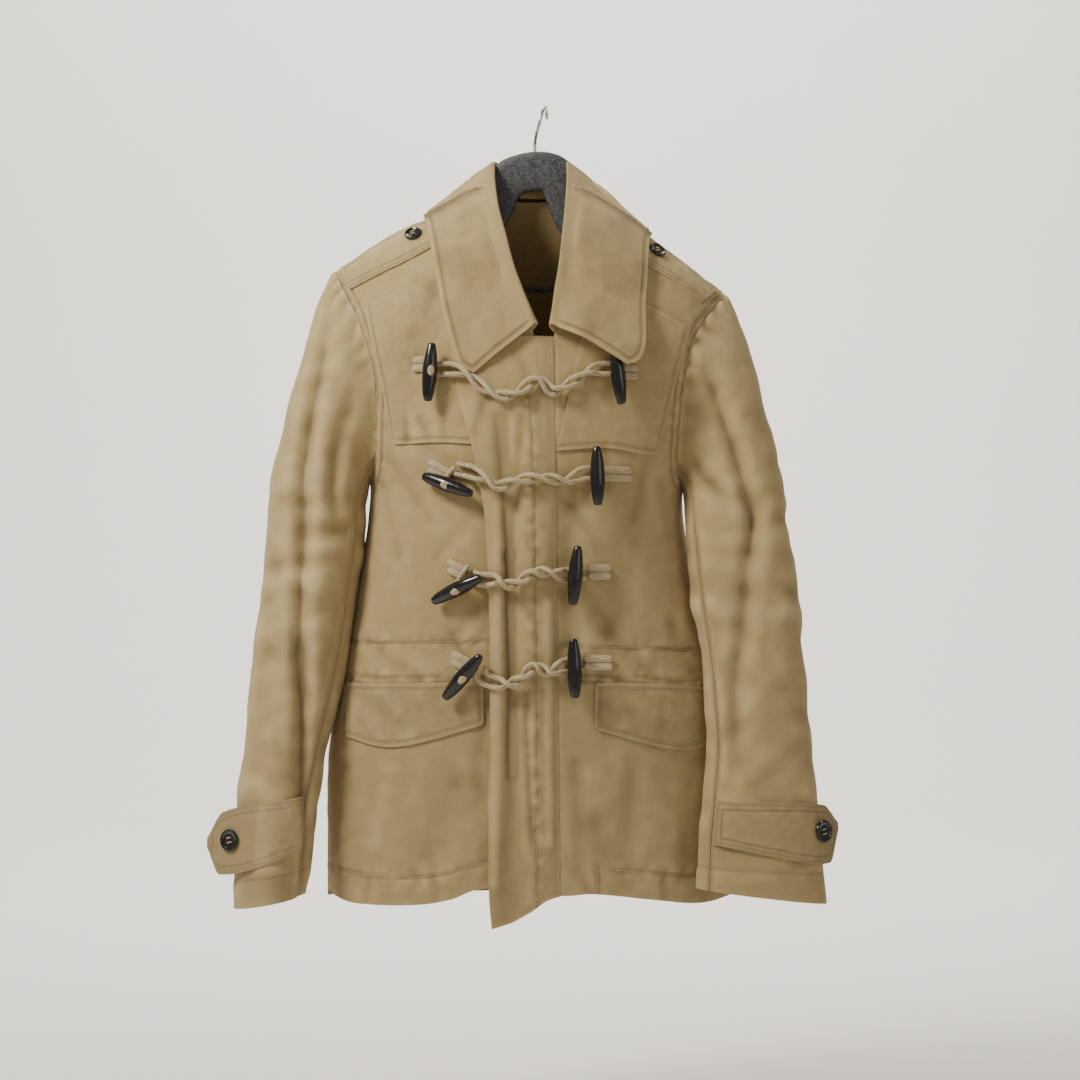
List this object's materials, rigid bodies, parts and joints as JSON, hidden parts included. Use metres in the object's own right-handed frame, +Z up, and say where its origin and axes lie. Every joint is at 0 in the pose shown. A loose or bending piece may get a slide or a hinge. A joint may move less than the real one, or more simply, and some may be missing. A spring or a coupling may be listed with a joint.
{
  "type": "duffle coat on a hanger",
  "caption": "Short cotton duffle coat with toggle fastenings, storm patches, flapped pockets and a wide flat collar, hanging on a black coat hanger.",
  "frame": {"origin": "rest point inside the top of the hanger's hook", "axes": "+X to the wearer's left (image right), -Y out of the coat's front, +Z up"},
  "size_m": [0.6489, 0.1726, 0.8503],
  "materials": {
    "cotton_twill": "matte tan cotton twill",
    "cream_cord": "matte braided cotton cord",
    "black_horn": "glossy black horn-like resin",
    "black_plastic": "black hanger with a dull sheen",
    "bright_steel": "bright wire"
  },
  "bodies": {
    "root": {"front_right": "cotton_twill", "front_left": "cotton_twill", "back": "cotton_twill", "front_placket": "cotton_twill", "storm_patch_right": "cotton_twill", "storm_patch_left": "cotton_twill", "pocket_flap_right": "cotton_twill", "pocket_flap_left": "cotton_twill", "shoulder_strap_right": "cotton_twill", "shoulder_strap_left": "cotton_twill", "collar": "cotton_twill", "sleeve_upper_right": "cotton_twill", "sleeve_under_right": "cotton_twill", "sleeve_upper_left": "cotton_twill", "sleeve_under_left": "cotton_twill", "hanger_board": "black_plastic", "hanger_hook": "bright_steel", "hanger_bar": "black_plastic", "shoulder_button_right": "black_horn", "shoulder_button_left": "black_horn", "cuff_tab_right": "cotton_twill", "cuff_button_right": "black_horn", "cuff_tab_left": "cotton_twill", "cuff_button_left": "black_horn", "cord_tab_right_1": "cream_cord", "toggle_right_1": "black_horn", "cord_tab_left_1": "cream_cord", "toggle_left_1": "black_horn", "cord_1_a": "cream_cord", "cord_1_b": "cream_cord", "cord_tab_right_2": "cream_cord", "toggle_right_2": "black_horn", "cord_tab_left_2": "cream_cord", "toggle_left_2": "black_horn", "cord_2_a": "cream_cord", "cord_2_b": "cream_cord", "cord_tab_right_3": "cream_cord", "toggle_right_3": "black_horn", "cord_tab_left_3": "cream_cord", "toggle_left_3": "black_horn", "cord_3_a": "cream_cord", "cord_3_b": "cream_cord", "cord_tab_right_4": "cream_cord", "toggle_right_4": "black_horn", "cord_tab_left_4": "cream_cord", "toggle_left_4": "black_horn", "cord_4_a": "cream_cord", "cord_4_b": "cream_cord"}
  },
  "joints": []
}
